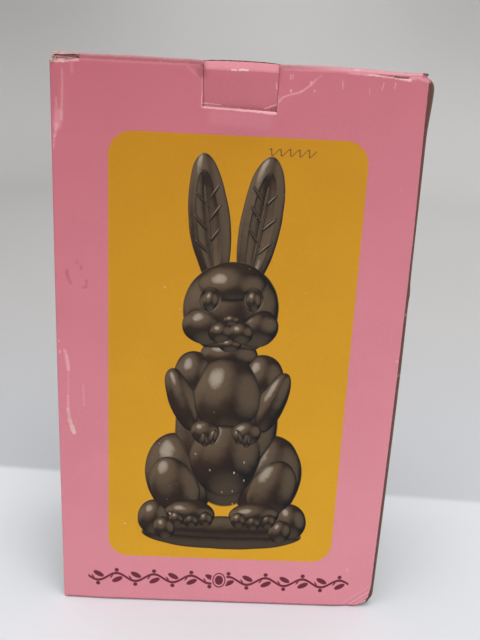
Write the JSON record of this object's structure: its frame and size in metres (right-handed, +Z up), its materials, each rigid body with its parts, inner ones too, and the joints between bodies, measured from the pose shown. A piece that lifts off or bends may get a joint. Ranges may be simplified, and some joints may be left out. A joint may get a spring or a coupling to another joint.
{
  "type": "folding carton",
  "caption": "Closed upright tuck-top folding carton of printed board, with a locking tab over the front edge, slit locks at the lid's corners and a slightly crushed corner.",
  "frame": {"origin": "middle of the base, on the surface that the carton stands on", "axes": "+Z up the carton, -Y out of its front panel, +X to the right as seen from the front"},
  "size_m": [0.206, 0.123, 0.3351],
  "materials": {
    "printed_board": "pink print on board, with a slight sheen"
  },
  "bodies": {
    "root": {"carton": "printed_board"}
  },
  "joints": []
}
